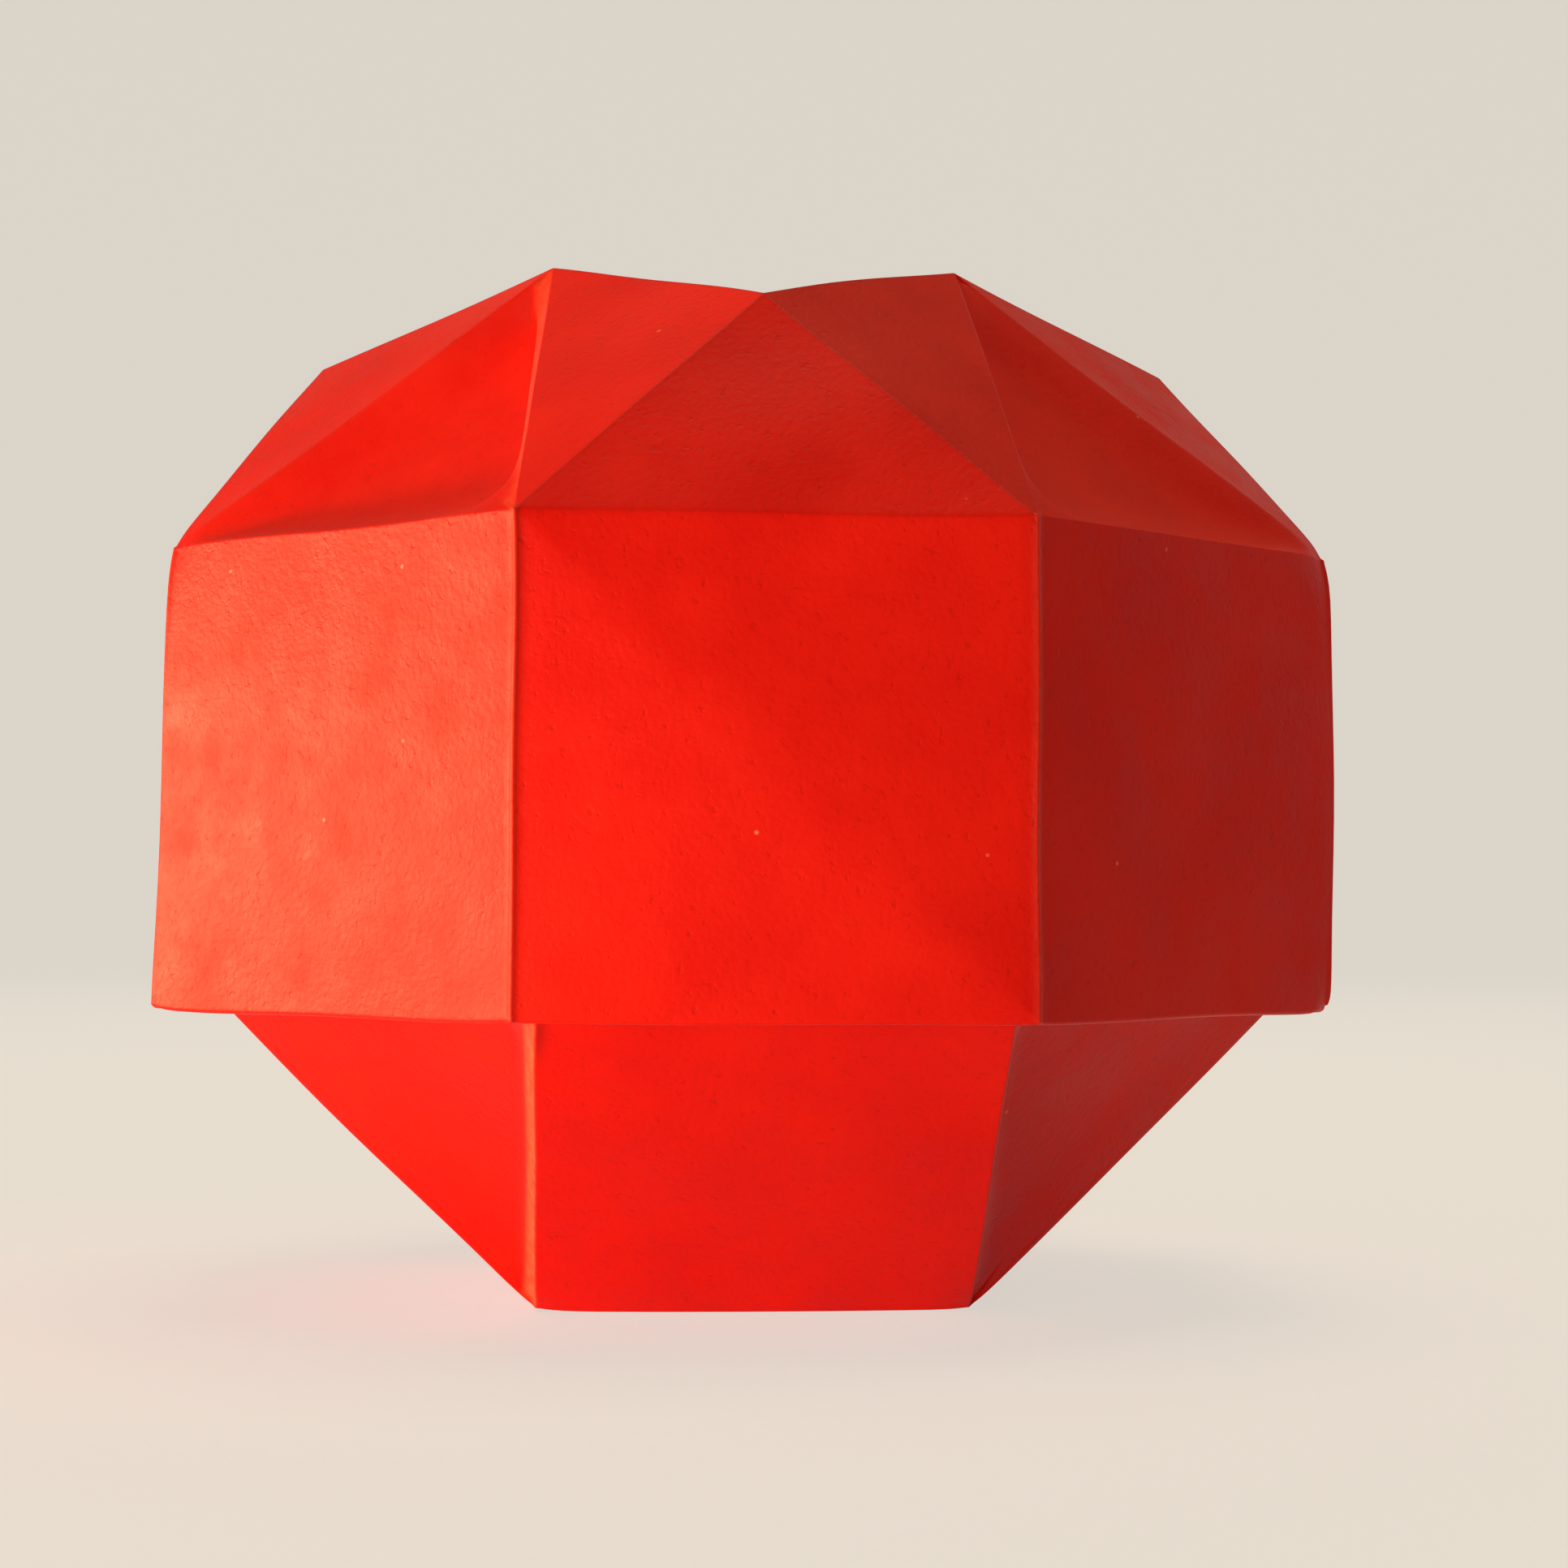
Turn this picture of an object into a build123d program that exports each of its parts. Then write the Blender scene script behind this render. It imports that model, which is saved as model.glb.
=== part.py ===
from build123d import *
import os

import numpy as np

# A folded paper box of two sheets: an eight-sided lid with a creased crown, pulled down over an
# eight-sided base. Each half is one folded sheet, so each is one solid. Lengths are in millimetres.
# The box stands on the middle of its flat bottom, +Z up, with a main wall facing -Y.

# Folded paper
wall = 0.5  # outer layer with the hem or pleat folded flat behind it
fold_radius = 0.35  # upright folds of the belts
hem_radius = 0.2  # each edge of a turned rim

# Lid belt, measured on the outside
lid_wall_width = 18.75  # main wall: an eighth of a 150 mm sheet
lid_across = 46.4  # between opposite main walls
lid_belt_height = 18.2

# Lid crown: reaches are from the upright axis, rises are above the top of the belt
crown_corner_reach = 8.15  # top corner of a slanted panel, along both X and Y
crown_corner_rise = 11.5
panel_peak_reach = 18.0  # middle of a panel, popped out where its two diagonal creases cross
panel_peak_rise = 8.65
top_edge_reach = 8.8  # middle of the edge between a panel and the top, pressed in
top_edge_rise = 6.9
top_centre_rise = 4.4  # lowest point of the pressed-in top

# Lid corner tucks: the corner triangle lies behind the folded edges round it
lid_tuck_rim = 0.3  # folded edge left round a tuck
lid_tuck_radius = 1.3  # rounded belt corners of a tuck
lid_tuck_at_top = 0.3  # depth below the crown's top corner
lid_tuck_at_side = 0.2  # depth beside the left or right panel, which runs on into the triangle
lid_tuck_at_front = 1.2  # depth beside the front or back panel, which overlaps the triangle

# Base
base_bottom_width = 17.5
base_wall_width = 17.8
base_panel_rise = 12.5  # height of the slanted panels
base_tuck_rim = 0.3
base_tuck_radius = 0.8
base_tuck_at_bottom = 0.4
base_tuck_at_side = 0.2
base_tuck_at_front = 0.6

# Fits
lid_overhang = 0.4  # lid rim below the foot of the base's belt
foot_clearance = 1.4  # between the foot of the base's belt and the lid's walls
side_clearance = 0.5  # between the base's rim, which springs outwards, and the lid's walls
seat_clearance = 0.2  # between the base's rim and the tucks it carries

# Levels, worked out from the bottom up
lid_rim_level = base_panel_rise - lid_overhang
belt_top_level = lid_rim_level + lid_belt_height
box_middle = Vector(0, 0, (lid_rim_level + belt_top_level) / 2)

# A belt has a main wall on each of four sides and a diagonal wall between them
sides = 4
quarter_turn = 360 / sides
half_corner_tangent = np.tan(np.radians(quarter_turn / 4))


def octagon(width, across, level, inset=0):
    """Corners of a belt's outline with all eight walls set in, anticlockwise from the front wall's left end."""
    reach = across / 2 - inset
    half_width = width / 2 - inset * half_corner_tangent
    ends = (Vector(-half_width, -reach, level), Vector(half_width, -reach, level))
    return [end.rotate(Axis.Z, quarter_turn * side) for side in range(sides) for end in ends]


def around(point):
    """The point on each of the four sides in turn."""
    return [point.rotate(Axis.Z, quarter_turn * side) for side in range(sides)]


def facet_normal(facet):
    """Outward normal of a facet listed anticlockwise as seen from outside."""
    first, second, third = facet[:3]
    return (second - first).cross(third - first).normalized()


def set_in(point, facets, depth):
    """The point moved until it lies the depth inside each facet that meets there, as nearly as it can."""
    normals = np.array([tuple(facet_normal(facet)) for facet in facets if point in facet])
    move, *_ = np.linalg.lstsq(normals, np.full(len(normals), -depth), rcond=None)
    return point + Vector(*move)


def faceted_solid(facets):
    """The solid that flat facets close."""
    return Solid(Shell([Face(Wire.make_polygon(facet)) for facet in facets]))


def crown_facets(belt, corners, peaks, dips, centre):
    """Facets of the crown over a belt's outline: creased panels, corner triangles and a pressed-in top."""
    facets = []
    for side in range(sides):
        left, right, next_left = (belt[(2 * side + step) % len(belt)] for step in range(3))
        near, far = corners[side - 1], corners[side]
        peak, dip = peaks[side], dips[side]
        facets += [(left, right, peak), (right, far, peak), (near, left, peak)]
        facets += [(far, dip, peak), (dip, near, peak)]
        facets += [(far, centre, dip), (centre, near, dip)]
        facets += [(right, next_left, far)]
    return facets


def tray_facets(bottom, foot, rim):
    """Facets of a tray: square bottom, slanted panels, corner triangles, belt walls and the flat of its mouth."""
    facets = [tuple(reversed(bottom)), tuple(rim)]
    for side in range(sides):
        left, right, next_left = (foot[(2 * side + step) % len(foot)] for step in range(3))
        near, far = bottom[side - 1], bottom[side]
        facets += [(near, far, right, left), (right, far, next_left)]
    for wall_number in range(len(foot)):
        after = (wall_number + 1) % len(foot)
        facets += [(foot[wall_number], foot[after], rim[after], rim[wall_number])]
    return facets


def corner_plane(tip, front, side):
    """Plane of a corner triangle, facing out of the box, with X from its tip to its end on the front wall."""
    normal = (front - tip).cross(side - tip)
    if normal.dot(tip - box_middle) < 0:
        normal = -normal
    return Plane(origin=tip, x_dir=front - tip, z_dir=normal)


def tuck_floor(tip, front, side, depths):
    """Outer face of the tucked-in triangle, set back by its own depth at each corner."""
    outward = corner_plane(tip, front, side).z_dir
    corners = [corner - outward * depth for corner, depth in zip((tip, front, side), depths)]
    return corner_plane(*corners)


def level_on(plane, point):
    """Height of a slanted plane above a point of the ground plan."""
    run = plane.z_dir.X * (point.X - plane.origin.X) + plane.z_dir.Y * (point.Y - plane.origin.Y)
    return plane.origin.Z - run / plane.z_dir.Z


def four_floors(tip, front, side, depths):
    """Tuck floors of all four corners, mirrored left to right and front to back."""
    floors = []
    for turn in ((1, 1), (-1, 1), (-1, -1), (1, -1)):
        mirrored = [Vector(point.X * turn[0], point.Y * turn[1], point.Z) for point in (tip, front, side)]
        floors.append(tuck_floor(*mirrored, depths))
    return floors


def tuck_hollows(corner, depths, rim, radius):
    """Hollows in front of the four tucked-in triangles, cut square to the corners' own planes."""
    plane = corner_plane(*corner)
    outline = [plane.to_local_coords(point) for point in corner]
    with BuildPart() as hollows:
        with BuildSketch(plane):
            Polygon(*[(point.X, point.Y) for point in outline], align=None)
            offset(amount=-rim, kind=Kind.INTERSECTION, mode=Mode.REPLACE)
            fillet(vertices().sort_by_distance(outline[0])[1:], radius)
        extrude(amount=-sum(depths))
        split(bisect_by=tuck_floor(*corner, depths), keep=Keep.TOP)
        mirror(about=Plane.YZ)
        mirror(about=Plane.XZ)
    return hollows.part


# Lid corner at the front right: tip at the crown's top corner, one end on each wall beside it
lid_belt_top = octagon(lid_wall_width, lid_across, belt_top_level)
lid_corners = around(Vector(crown_corner_reach, -crown_corner_reach, belt_top_level + crown_corner_rise))
lid_peaks = around(Vector(0, -panel_peak_reach, belt_top_level + panel_peak_rise))
lid_dips = around(Vector(0, -top_edge_reach, belt_top_level + top_edge_rise))
lid_centre = Vector(0, 0, belt_top_level + top_centre_rise)
lid_corner = (lid_corners[0], lid_belt_top[1], lid_belt_top[2])
lid_tuck_depths = (lid_tuck_at_top, lid_tuck_at_front, lid_tuck_at_side)

# Crown skin outside, and inside by the paper's thickness
outside_facets = crown_facets(lid_belt_top, lid_corners, lid_peaks, lid_dips, lid_centre)
inner_belt_top = octagon(lid_wall_width, lid_across, belt_top_level, wall)
inside_facets = crown_facets(
    inner_belt_top,
    [set_in(corner, outside_facets, wall) for corner in lid_corners],
    [set_in(peak, outside_facets, wall) for peak in lid_peaks],
    [set_in(dip, outside_facets, wall) for dip in lid_dips],
    set_in(lid_centre, outside_facets, wall),
)

# Space inside the lid, cut off at each corner by the back of the tuck
with BuildPart() as lid_space:
    with BuildSketch(Plane.XY.offset(lid_rim_level)):
        Polygon(*[(corner.X, corner.Y) for corner in inner_belt_top], align=None)
    extrude(amount=lid_belt_height)
    add(faceted_solid(inside_facets + [tuple(reversed(inner_belt_top))]))
    for floor in four_floors(*lid_corner, lid_tuck_depths):
        split(bisect_by=floor.offset(-wall), keep=Keep.BOTTOM)

lid_hollows = tuck_hollows(lid_corner, lid_tuck_depths, lid_tuck_rim, lid_tuck_radius)

# Lid
with BuildPart() as lid:
    with BuildSketch(Plane.XY.offset(lid_rim_level)):
        Polygon(*[(corner.X, corner.Y) for corner in lid_belt_top], align=None)
    extrude(amount=lid_belt_height)
    add(faceted_solid(outside_facets + [tuple(reversed(lid_belt_top))]))
    fillet(lid.edges().filter_by(Axis.Z), fold_radius)
    add(lid_hollows, mode=Mode.SUBTRACT)
    add(lid_space.part, mode=Mode.SUBTRACT)
    fillet(lid.faces().sort_by(Axis.Z)[0].edges(), hem_radius)
lid.part.label = "lid"

# Base rim: it springs out towards the lid's wall, and the backs of the lid's tucks rest on it
base_rim_inset = wall + side_clearance
seat_levels = [
    level_on(floor.offset(-wall), corner)
    for floor in four_floors(*lid_corner, lid_tuck_depths)
    for corner in octagon(lid_wall_width, lid_across, belt_top_level, base_rim_inset)
]
base_rim_level = min(seat_levels) - seat_clearance

# Base skin outside, and inside by the paper's thickness
base_corners = around(Vector(base_bottom_width / 2, -base_bottom_width / 2, 0))
base_foot = octagon(base_wall_width, lid_across - 2 * (wall + foot_clearance), base_panel_rise)
base_rim = octagon(lid_wall_width, lid_across, base_rim_level, base_rim_inset)
base_corner = (base_corners[0], base_foot[1], base_foot[2])
base_tuck_depths = (base_tuck_at_bottom, base_tuck_at_front, base_tuck_at_side)
base_facets = tray_facets(base_corners, base_foot, base_rim)
base_space_facets = tray_facets(
    [set_in(corner, base_facets, wall) for corner in base_corners],
    [set_in(corner, base_facets, wall) for corner in base_foot],
    octagon(lid_wall_width, lid_across, base_rim_level, base_rim_inset + wall),
)

# Space inside the base, cut off at each corner by the back of the tuck
with BuildPart() as base_space:
    add(faceted_solid(base_space_facets))
    for floor in four_floors(*base_corner, base_tuck_depths):
        split(bisect_by=floor.offset(-wall), keep=Keep.BOTTOM)

base_hollows = tuck_hollows(base_corner, base_tuck_depths, base_tuck_rim, base_tuck_radius)

# Base
with BuildPart() as base:
    add(faceted_solid(base_facets))
    add(base_hollows, mode=Mode.SUBTRACT)
    add(base_space.part, mode=Mode.SUBTRACT)
    belt_edges = base.edges().filter_by_position(
        Axis.Z, base_panel_rise, base_rim_level, inclusive=(False, False)
    )
    fillet(belt_edges.filter_by(lambda edge: edge.bounding_box().size.Z > wall), fold_radius)
    fillet(base.faces().sort_by(Axis.Z)[-1].edges(), hem_radius)
base.part.label = "base"

os.makedirs("parts", exist_ok=True)
export_step(lid.part, "parts/lid.step")
export_step(base.part, "parts/base.step")
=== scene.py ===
"""A ball-like box folded from two sheets of red craft paper, drawn fold by fold over its solids."""

import math

import bmesh
import bpy
import numpy as np
from bpy.props import FloatProperty, FloatVectorProperty, PointerProperty
from mathutils import Matrix, Vector


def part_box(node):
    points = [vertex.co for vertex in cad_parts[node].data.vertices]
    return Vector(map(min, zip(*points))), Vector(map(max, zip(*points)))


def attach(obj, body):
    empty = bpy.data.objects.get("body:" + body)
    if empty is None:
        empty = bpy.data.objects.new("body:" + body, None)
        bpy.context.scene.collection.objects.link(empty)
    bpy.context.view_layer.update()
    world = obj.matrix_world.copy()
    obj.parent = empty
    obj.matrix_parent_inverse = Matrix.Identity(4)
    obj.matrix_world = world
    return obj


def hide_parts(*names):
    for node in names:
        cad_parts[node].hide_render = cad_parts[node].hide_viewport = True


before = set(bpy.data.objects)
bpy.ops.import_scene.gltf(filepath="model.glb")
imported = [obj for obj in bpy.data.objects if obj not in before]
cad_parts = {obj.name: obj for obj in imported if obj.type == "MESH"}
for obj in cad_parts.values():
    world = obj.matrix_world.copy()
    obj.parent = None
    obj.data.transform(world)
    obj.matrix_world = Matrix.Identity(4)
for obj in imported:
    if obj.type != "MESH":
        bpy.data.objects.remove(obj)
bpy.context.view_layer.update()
LID_LOW, LID_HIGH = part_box("lid")
_, BASE_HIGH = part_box("base")

bl_info = {
    "name": "Folded Paper Box",
    "version": (1, 0, 0),
    "blender": (4, 5, 0),
    "location": "3D View > Sidebar > Paper Box",
    "description": "Folds the lid and the base of a ball-like paper box and sets up a studio for it",
    "category": "Object",
}

MM = 0.001  # metres in a millimetre
SIDES = 4
WALLS = 2 * SIDES

# Corner numbers of a half: its belt, the tips of its corner triangles, and then the lid's peaks, dips and centre or
# the base's rim
FIRST_TIP = WALLS
FRONT_RIGHT_TIP, BACK_RIGHT_TIP, BACK_LEFT_TIP, FRONT_LEFT_TIP = range(FIRST_TIP, FIRST_TIP + SIDES)
FIRST_PEAK = FIRST_RIM = FIRST_TIP + SIDES
FIRST_DIP = FIRST_PEAK + SIDES
CENTRE = FIRST_DIP + SIDES

# Rows of points between a fold and the middle of a facet, crowded towards the fold, where the paper turns
HALF_SHARES = np.array([0, 0.0107, 0.0267, 0.064, 0.17, 0.384, 0.683, 1])
EDGE_SHARES = np.concatenate([HALF_SHARES / 2, 1 - HALF_SHARES[-2::-1] / 2])


# Settings


def length(name, description, default):
    """A length that a user can change."""
    return FloatProperty(name=name, description=description, default=default, unit="LENGTH", precision=5)


def colour(name, description, code):
    """A colour that a user can change, from an sRGB hex code."""
    return FloatVectorProperty(
        name=name, description=description, default=linear(code), size=3, min=0, max=1, subtype="COLOR"
    )


def linear(code):
    """Linear red, green and blue of an sRGB hex code."""
    share = np.array([int(code[start:start + 2], 16) for start in (1, 3, 5)]) / 255
    return tuple(np.where(share <= 0.04045, share / 12.92, ((share + 0.055) / 1.055) ** 2.4))


class PaperSettings(bpy.types.PropertyGroup):
    """The paper both halves are folded from."""

    layers: length("Layers", "Outer layer with the hem or pleat folded flat behind it", 0.5 * MM)
    bead: length("Fold ridge", "Height of the ridge that creased fibres raise along a fold", 0.1 * MM)
    ripple: length("Ripple", "How far handling has waved the sheets", 0.05 * MM)
    red: colour("Red", "Dyed paper in plain light", "#E8190A")
    deep_red: colour("Deep red", "Where the dye lies thicker", "#DD1107")
    # Paler red: worn fibres along the folds with painted highlight, and painted highlight on the lit flanks of folded
    # edges
    wear_and_highlight: colour("Worn fold", "Fibres broken open along a fold", "#F4583A")
    # Dark red used as painted shade along creases, beside the upright folds, at the slit by the base and in pits
    crease: colour("Crease", "Bruised fibres along a crease", "#8E0A04")
    speck: colour("Speck", "Paler fibre ends", "#F2745A")


class LidSettings(bpy.types.PropertyGroup):
    """The lid, measured on the outside."""

    across: length("Across", "Between opposite main walls", LID_HIGH.x - LID_LOW.x)
    rim_level: length("Rim level", "Turned rim above the bottom of the box", LID_LOW.z - 0.15 * MM)
    top_level: length("Top level", "Top corners above the bottom of the box", LID_HIGH.z)
    wall_width: length("Wall width", "Width of a main wall", 18.75 * MM)
    belt_height: length("Belt height", "Height of the walls", 18.35 * MM)
    corner_reach: length("Corner reach", "Top corner from the middle, both ways", 8.15 * MM)
    peak_reach: length("Peak reach", "Middle of a panel from the upright axis", 18.0 * MM)
    peak_rise: length("Peak rise", "Middle of a panel above the walls", 8.65 * MM)
    dip_reach: length("Dip reach", "Middle of a panel's top edge from the upright axis", 8.8 * MM)
    dip_rise: length("Dip rise", "Middle of a panel's top edge above the walls", 6.9 * MM)
    centre_rise: length("Centre rise", "Pressed-in middle of the top above the walls", 4.4 * MM)
    tuck_at_top: length("Tuck at top", "Depth of a corner tuck at its tip", 0.65 * MM)
    tuck_at_front: length("Tuck at front", "Depth at the front or back panel's lower end", 0.4 * MM)
    tuck_sag: length("Tuck sag", "Further depth clear of a tuck's edges", 1.2 * MM)
    tuck_radius: length("Tuck radius", "Rounded corner of a tuck's mouth", 1.9 * MM)
    edge_at_top: length("Edge at top", "Half the thickness of a panel's folded edge at its top", 0.5 * MM)
    edge_at_front: length("Edge at front", "Half the thickness of that edge at its lower end", 0.12 * MM)
    edge_at_wall: length("Edge at wall", "Half the thickness of a wall's folded edge", 0.1 * MM)
    diagonal_ridge: length("Diagonal ridge", "Old diagonal crease pushing out the front wall", 0.52 * MM)
    left_flare: length("Left flare", "How far the rim springs out at the left of the front", 0.5 * MM)


class BaseSettings(bpy.types.PropertyGroup):
    """The base, measured on the outside."""

    bottom_width: length("Bottom width", "Flat square bottom", 17.5 * MM)
    wall_width: length("Wall width", "Width of a main wall at the foot of the belt", 17.8 * MM)
    foot_clearance: length("Foot clearance", "Between the foot of the belt and the lid", 1.4 * MM)
    rim_clearance: length("Rim clearance", "Between the rim and the lid", 0.5 * MM)
    panel_rise: length("Panel rise", "Height of the slanted panels", 12.5 * MM)
    rim_level: length("Rim level", "Rim above the bottom", BASE_HIGH.z)
    tuck_at_bottom: length("Tuck at bottom", "Depth of a corner tuck at its tip", 0.8 * MM)
    tuck_at_front: length("Tuck at front", "Depth at the front or back panel's upper end", 0.8 * MM)
    tuck_sag: length("Tuck sag", "Further depth clear of a tuck's edges", 0.2 * MM)
    tuck_radius: length("Tuck radius", "Rounded corner of a tuck's mouth", 0.8 * MM)
    edge_at_bottom: length("Edge at bottom", "Half the thickness of a panel's folded edge at its foot", 0.4 * MM)
    edge_at_front: length("Edge at front", "Half the thickness of that edge at its upper end", 0.4 * MM)
    edge_at_wall: length("Edge at wall", "Half the thickness of the belt's folded foot", 0.1 * MM)


class StageSettings(bpy.types.PropertyGroup):
    """Floor and its upswept surround."""

    floor: colour("Floor", "Matte floor and its upswept surround", "#F5F1E8")
    floor_reach: length("Floor reach", "From the box to where the floor sweeps up", 0.6)


class PaperBoxSettings(bpy.types.PropertyGroup):
    """Everything that a user would change."""

    paper: PointerProperty(type=PaperSettings)
    lid: PointerProperty(type=LidSettings)
    base: PointerProperty(type=BaseSettings)
    stage: PointerProperty(type=StageSettings)


# Folded shapes


def ease(x):
    """Smooth step from 0 to 1."""
    x = np.clip(x, 0, 1)
    return x * x * (3 - 2 * x)


def bell(distance, width):
    """Bell curve: exp(-(distance / width)^2)."""
    return np.exp(-((distance / width) ** 2))


def unit(vectors):
    """The vectors, each made 1 long."""
    return vectors / np.linalg.norm(vectors, axis=-1, keepdims=True)


def quarter_turns(points):
    """The points on each of the four sides in turn: points turned by 0, 90, 180 and 270 degrees about Z."""
    angles = np.arange(SIDES) * np.pi / 2
    cos, sin, zero, one = np.cos(angles), np.sin(angles), np.zeros(SIDES), np.ones(SIDES)
    turns = np.array([[cos, -sin, zero], [sin, cos, zero], [zero, zero, one]]).transpose(2, 0, 1)
    return np.einsum("sij,pj->spi", turns, np.atleast_2d(points)).reshape(-1, 3)


def octagon(width, across, level, inset=0.0):
    """Corners of a belt, anticlockwise from the front wall's left end: each wall moved in by the inset."""
    half = width / 2 - inset * math.tan(math.pi / 8)
    reach = across / 2 - inset
    return quarter_turns([(-half, -reach, level), (half, -reach, level)])


def side_corners(side):
    """Corner numbers at a side: its panel's ends on the wall and far and near tip, and the next wall's start."""
    left, right, next_left = (2 * side + np.arange(3)) % WALLS
    return left, right, FIRST_TIP + side, FIRST_TIP + (side - 1) % SIDES, next_left


def triangle_patch(a, b, c):
    """Three four-sided grids that fill a triangle, one at each corner.

    Each grid runs from its corner p to the middles of the two edges there and to the triangle's centre:
    (1-u)(1-v) p + u(1-v) mid(pq) + (1-u)v mid(pr) + uv centre, with u and v crowded towards the folds.
    """
    p = np.array([a, b, c])
    q, r = np.roll(p, -1, axis=0), np.roll(p, 1, axis=0)
    u, v = np.meshgrid(HALF_SHARES, HALF_SHARES, indexing="ij")
    weights = np.stack([(1 - u) * (1 - v), u * (1 - v), (1 - u) * v, u * v])
    corners = np.stack([p, (p + q) / 2, (p + r) / 2, np.broadcast_to(p.mean(axis=0), (3, 3))])
    return list(np.einsum("wij,wkx->kijx", weights, corners))


def quad_patch(a, b, c, d):
    """A grid over a four-sided facet: straight lines between its two sides, crowded towards the folds."""
    u, v = np.meshgrid(EDGE_SHARES, EDGE_SHARES, indexing="ij")
    weights = np.stack([(1 - u) * (1 - v), u * (1 - v), u * v, (1 - u) * v])
    return np.einsum("wij,wx->ijx", weights, np.array([a, b, c, d]))


def along_outline(corners):
    """Points along a closed outline, at the same shares of the way between its corners, as one row."""
    after = np.roll(corners, -1, axis=0)
    share = EDGE_SHARES[None, :-1, None]
    return (corners[:, None] * (1 - share) + after[:, None] * share).reshape(-1, 3)


LEAST_RADIUS = 1e-9  # keeps the tangent length of a sharp corner above 0


def rounded_loop(corners, radii):
    """Points round a triangle with rounded corners.

    A point nearer to a corner than its tangent length T slides on to the arc there, at the angle
    (distance / T) (pi - corner angle) / 2 from the arc's middle.
    """
    p, q, third = corners, np.roll(corners, -1, axis=0), np.roll(corners, 1, axis=0)
    share = EDGE_SHARES[:-1]
    points = along_outline(p).reshape(3, -1, 3)
    for corner, other, radius, away in ((p, q, radii, share), (q, p, np.roll(radii, -1), 1 - share)):
        along, across = unit(other - corner), unit(third - corner)
        bisector = unit(along + across)
        half_angle = np.arccos(np.clip((along * bisector).sum(axis=1), -1, 1))
        upright = unit(along - bisector * np.cos(half_angle)[:, None])
        tangent = np.maximum(radius, LEAST_RADIUS) / np.tan(half_angle)
        away = away * (np.linalg.norm(other - corner, axis=1) / tangent)[:, None]
        turn = np.clip(away, 0, 1) * (np.pi / 2 - half_angle)[:, None]
        centre = corner + bisector * (radius / np.sin(half_angle))[:, None]
        arc = (
            centre[:, None]
            - bisector[:, None] * (radius[:, None] * np.cos(turn))[..., None]
            + upright[:, None] * (radius[:, None] * np.sin(turn))[..., None]
        )
        points = np.where((away < 1)[..., None], arc, points)
    return points.reshape(-1, 3)


def inset_triangle(corners, inset):
    """Corners of a triangle moved in from its edges by the inset: drawn towards the incentre."""
    opposite = np.linalg.norm(np.roll(corners, -1, axis=0) - np.roll(corners, 1, axis=0), axis=1)
    incentre = opposite @ corners / opposite.sum()
    area = np.linalg.norm(np.cross(corners[1] - corners[0], corners[2] - corners[0])) / 2
    return incentre + (corners - incentre) * (1 - inset * opposite.sum() / 2 / area)


def set_in(points, facets, depth):
    """Each corner moved until it lies the depth inside every facet that meets there, as nearly as it can."""
    normals = unit(np.array([np.cross(points[b] - points[a], points[c] - points[a]) for a, b, c in facets]))
    member = np.array([[corner in facet for facet in facets] for corner in range(len(points))])
    moves = [np.linalg.lstsq(normals[row], np.full(row.sum(), -depth), rcond=None)[0] for row in member]
    return points + np.array(moves)


# Corner tucks

# Corner numbers of each tuck's tip, front or back end and side end
TUCK_CORNERS = (
    (FRONT_RIGHT_TIP, 1, 2), (FRONT_LEFT_TIP, 0, 7), (BACK_LEFT_TIP, 5, 6), (BACK_RIGHT_TIP, 4, 3)
)
# At each tuck: how fully the front or back panel's edge is folded over, how strong the painted highlight on its flank
# is, and the sag's share
FOLD_FULLNESS = (0.3, 1.0, 0.7, 0.5)
FLANK_HIGHLIGHT = (0.0, 1.0, 0.4, 0.2)
SAGGING = (0.6, 1.0, 0.6, 0.5)

# Rows at a folded edge: how far in from the arris and how far down they lie, in halves of the edge's thickness, where
# the edge is tucked under and where it runs down on to the floor, and the share of the tuck's depth they may reach
UNDER_IN = np.array([0, 0.25, 0.9, 1.5, 1.75, 1.7, 1.35, 0.9])
UNDER_DOWN = np.array([0, 0.13, 0.5, 0.85, 1.2, 1.6, 1.9, 9])
RUN_IN = np.array([0, 0.25, 0.9, 1.5, 1.75, 2.0, 2.25, 2.5])
RUN_DOWN = np.array([0, 0.13, 0.5, 0.85, 1.03, 1.18, 1.3, 9])
DEPTH_SHARES = np.array([0, 0.09, 0.34, 0.58, 0.74, 0.87, 0.95, 1])
# Rows of the floor that follow: how far in they lie
UNDER_FLOOR = np.array([0.5, 0.75, 1.15, 1.9]) * MM
RUN_FLOOR = np.array([1.5, 1.6, 1.75, 1.9]) * MM
# All rows: how far in they lie at the soft edge, where the triangle runs on into the side panel, and at the tip
SOFT_ROWS = np.array([0, 0.1, 0.2, 0.32, 0.46, 0.62, 0.8, 1.0, 1.2, 1.4, 1.6, 1.9]) * MM
TIP_ROWS = np.array([0, 0.01, 0.02, 0.04, 0.06, 0.09, 0.13, 0.2, 0.3, 0.6, 1.1, 1.9]) * MM
TIP_SPAN = 3 * MM  # from the tip to where the soft edge has its full rows
SOFT_SPAN = 0.5 * MM  # from the soft edge to where the floor has its full depth
# All rows: the share of the mouth's radius, and that at the tip, the front end and the side end
MOUTH_SHARES = np.array([0, 0.12, 0.9, 1, 1, 1, 1, 0.95, 0.85, 0.7, 0.4, 0])
MOUTH_CORNERS = np.array([0, 1, 0.5])
HARD_END = 0.86  # share of the wall's edge that is folded before it turns soft
# Powers of the way left along an edge: its thickness, how far it runs down, and both just past the front end
ROLL_FADE, RUN_FADE, CORNER_FADE = 1.6, 4, 12

TIP_REACH = 0.5 * MM  # round the tip, the floor is as deep at the side panel as at the front one
SAG_REACH = 2.1 * MM  # from the wall to where the floor sags
SAG_FADE = 4 * MM  # from the tip and from the side panel to where it sags
LEAST_SHARE = 1e-6  # keeps the share of the way from the tip above 0
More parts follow.
